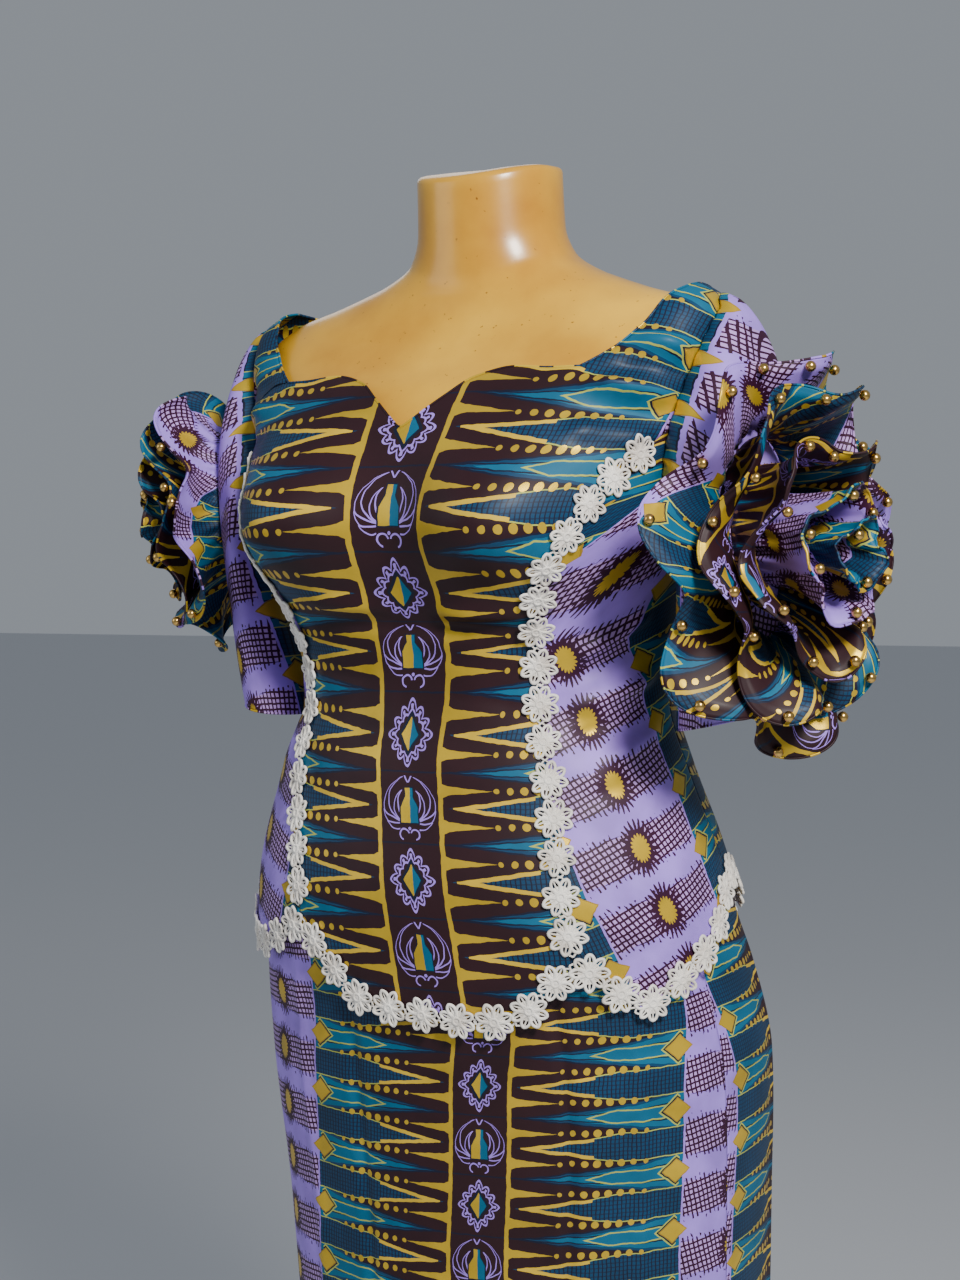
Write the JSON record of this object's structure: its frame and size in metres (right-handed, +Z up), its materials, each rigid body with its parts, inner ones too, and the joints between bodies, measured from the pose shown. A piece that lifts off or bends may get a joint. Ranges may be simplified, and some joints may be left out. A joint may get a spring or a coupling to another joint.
{
  "type": "ankara maxi dress on dress form",
  "caption": "Wax-print maxi dress with sweetheart bodice overlay, lace-covered princess seams, scalloped lace hem and rose sleeves, on a limbless dress form with a round base.",
  "frame": {"origin": "on the floor, at the middle of the underside of the round base, on the axis of the pole", "axes": "+Z up along the pole and the wearer's height, -Y the way the wearer faces, +X towards the wearer's left"},
  "size_m": [0.6417, 0.3807, 1.5068],
  "materials": {
    "wax_print": "waxed printed cotton, slight sheen",
    "lace": "matte cotton guipure lace",
    "form_shell": "smooth gloss",
    "stand_metal": "brushed"
  },
  "bodies": {
    "root": {"bodice_front_centre": "wax_print", "bodice_front_side_left": "wax_print", "bodice_front_side_right": "wax_print", "bodice_back_left": "wax_print", "bodice_back_right": "wax_print", "skirt_front": "wax_print", "skirt_back": "wax_print", "sleeve_left": "wax_print", "sleeve_right": "wax_print", "rose_left_ruffle_1": "wax_print", "rose_left_ruffle_2": "wax_print", "rose_left_ruffle_3": "wax_print", "rose_left_ruffle_4": "wax_print", "rose_left_ruffle_5": "wax_print", "rose_right_ruffle_1": "wax_print", "rose_right_ruffle_2": "wax_print", "rose_right_ruffle_3": "wax_print", "rose_right_ruffle_4": "wax_print", "rose_right_ruffle_5": "wax_print", "lace_princess_left": "lace", "lace_princess_right": "lace", "lace_hem": "lace", "form_torso": "form_shell", "form_plate": "stand_metal", "form_pole": "stand_metal", "form_base": "stand_metal"}
  },
  "joints": []
}
